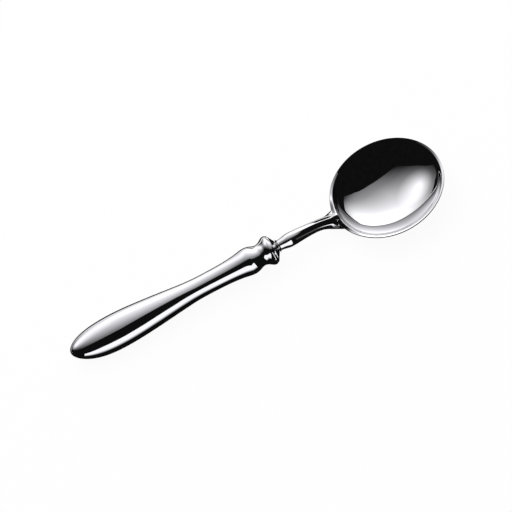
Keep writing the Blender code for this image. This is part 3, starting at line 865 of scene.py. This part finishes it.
# Soft panel: the glows of four lamps behind it add up, and its left end is dim.
facing = studio["panelFacing"]
down = Vector((0.0, facing.z, -facing.y))
panelPlace = Matrix((Vector((1, 0, 0)), down, facing)).transposed().to_4x4() * studio["panelDistance"]
panelPlace.translation = studio["panelAt"] + facing * studio["panelDistance"]
panelPlace[3][3] = 1.0
panel, tree = emptyMaterial("softPanel")
place = addNode(tree, "ShaderNodeTexCoord")
tone = 0.0
for middle, fadeOut, level in studio["hotSpots"]:
    spread = addNode(tree, "ShaderNodeMapping", {"vector_type": "TEXTURE"}, {
        "Vector": place.outputs["Object"], "Location": middle, "Scale": fadeOut})
    spot = addNode(tree, "ShaderNodeTexGradient", {"gradient_type": "SPHERICAL"}, {
        "Vector": spread.outputs["Vector"]})
    tone = addNode(tree, "ShaderNodeMath", {"operation": "MULTIPLY_ADD"}, {
        0: spot.outputs["Fac"], 1: level, 2: tone}).outputs["Value"]
light = addNode(tree, "ShaderNodeMath", {"operation": "POWER"}, {0: tone, 1: studio["panelGamma"]})
part = addNode(tree, "ShaderNodeSeparateXYZ", None, {"Vector": place.outputs["Object"]})
edge = addNode(tree, "ShaderNodeMapRange", {"interpolation_type": "SMOOTHSTEP"}, {
    "Value": part.outputs["X"], "From Min": studio["panelDim"][0], "From Max": studio["panelDim"][1],
    "To Min": 0.0, "To Max": 1.0 / studio["steelTone"]})
strength = addNode(tree, "ShaderNodeMath", {"operation": "MULTIPLY"}, {
    0: light.outputs["Value"], 1: edge.outputs["Result"]})
glow = addNode(tree, "ShaderNodeEmission", None, {
    "Color": toLinear(studio["lightColour"]), "Strength": strength.outputs["Value"]})
addNode(tree, "ShaderNodeOutputMaterial", None, {"Surface": glow.outputs["Emission"]})
panelPoints = [(across, along, 0.0) for across, along in studio["panelShape"]]
stagePiece("softPanel", panelPoints, [tuple(range(len(panelPoints)))], panel, ("diffuse", "glossy"),
           panelPlace)

# White cards in front, as white as their "shade" says at each point.
card, tree = emptyMaterial("whiteCard")
shade = addNode(tree, "ShaderNodeAttribute", {"attribute_name": "shade"})
fade = addNode(tree, "ShaderNodeMapRange", {"interpolation_type": "SMOOTHSTEP"}, {
    "Value": shade.outputs["Fac"], "To Min": 0.0, "To Max": 1.0 / studio["steelTone"]})
glow = addNode(tree, "ShaderNodeEmission", None, {
    "Color": toLinear(studio["lightColour"]), "Strength": fade.outputs["Result"]})
addNode(tree, "ShaderNodeOutputMaterial", None, {"Surface": glow.outputs["Emission"]})


def standingCard(name, columns):
    # Each column is its place along X, then pairs of height and shade from the bottom up.
    points = [(x, studio["cardY"], z) for x, pairs in columns for z, _ in pairs]
    rows = len(columns[0][1])
    faces = [(i, i + rows, i + rows + 1, i + 1) for i in range(len(points) - rows) if (i + 1) % rows]
    body = stagePiece(name, points, faces, card, ("glossy",))
    shades = body.data.attributes.new("shade", "FLOAT", "POINT")
    shades.data.foreach_set("value", [level for _, pairs in columns for _, level in pairs])


# One before the handle, fading towards the table. One beside it for a sheen on the neck and a
# bright line along the lower edge of the heel.
standingCard("whiteCard", [
    (x, ((0.0, 0.0), (black, 0.0), (white, 1.0), (top, 1.0)))
    for x, top, white, black in studio["handleCard"]])
standingCard("heelCard", [(x, ((low, level), (high, level))) for x, low, high, level in studio["heelCard"]])

# A broad lamp overhead for the paper and everything matt, kept out of the mirror.
lampData = bpy.data.lights.new("overheadLamp", "AREA")
lampData.size = studio["lampSize"]
lampData.energy = studio["lampWatts"]
lamp = bpy.data.objects.new("overheadLamp", lampData)
bpy.context.scene.collection.objects.link(lamp)
lamp.location = studio["lampPlace"]
lamp.rotation_euler = (lamp.location * -1).to_track_quat("-Z", "Y").to_euler()
lamp.visible_glossy = False

world = bpy.data.worlds.new("studioWhite")
bpy.context.scene.world = world
world.use_nodes = True
tree = world.node_tree
tree.nodes.clear()
seen = seenDirectly(tree)
level = addNode(tree, "ShaderNodeMapRange", None, {
    "Value": seen.outputs["Value"], "To Min": studio["skyForMatt"], "To Max": 1.0})
sky = addNode(tree, "ShaderNodeBackground", None, {"Strength": level.outputs["Result"]})
addNode(tree, "ShaderNodeOutputWorld", None, {"Surface": sky.outputs["Background"]})
print("studio set")

# Camera: a long lens from the front, high up, rolled so that the spoon runs up to the right.
view = {
    "azimuth": -14.047,
    "elevation": 59.932,
    "roll": -14.777,
    "distance": 2.0,
    "aim": Vector((0.00044, 0.00155, 0.00893)),
    "lens": 261.87,
    "sensor": 36.0,
    "clipEnd": 20.0,
}
cameraData = bpy.data.cameras.new("camera")
cameraData.lens = view["lens"]
cameraData.sensor_width = view["sensor"]
cameraData.clip_end = view["clipEnd"]
camera = bpy.data.objects.new("camera", cameraData)
bpy.context.scene.collection.objects.link(camera)
turn = Matrix.Rotation(math.radians(view["azimuth"]), 4, "Z")
turn = turn @ Matrix.Rotation(math.radians(90.0 - view["elevation"]), 4, "X")
turn = turn @ Matrix.Rotation(math.radians(view["roll"]), 4, "Z")
stepBack = Matrix.Translation((0.0, 0.0, view["distance"]))
camera.matrix_world = Matrix.Translation(view["aim"]) @ turn @ stepBack
bpy.context.scene.camera = camera
bpy.context.scene.view_settings.view_transform = "Standard"

bpy.context.view_layer.update()
print("done")
